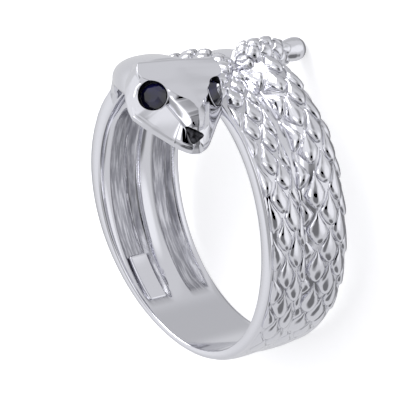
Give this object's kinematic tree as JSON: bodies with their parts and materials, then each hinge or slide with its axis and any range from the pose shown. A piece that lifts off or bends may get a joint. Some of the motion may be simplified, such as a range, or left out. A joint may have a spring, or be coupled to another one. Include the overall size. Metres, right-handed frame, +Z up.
{
  "type": "snake wrap ring",
  "caption": "Cast silver snake ring, size 6.75 to 7, with two scaled coils, a flat polished head with dark faceted eyes, and a tail beside it. It lies on its side.",
  "frame": {"origin": "centre of the finger bore's mouth on the far edge, the side away from the head", "axes": "+Z is up as the ring lies on its side, with the bore's axis leaning 6.1 degrees from it towards +Y. -Y runs from the bore's axis to the crown, where the tail and head are. +X is to the finger's left of the crown, away from where the head looks."},
  "size_m": [0.0204, 0.0207, 0.0135],
  "materials": {
    "silver": "polished cast silver, rough in the hollow back",
    "sapphire": "polished, cut in flat facets"
  },
  "bodies": {
    "root": {"snake_body": "silver", "right_eye_stone": "sapphire", "left_eye_stone": "sapphire"}
  },
  "joints": []
}
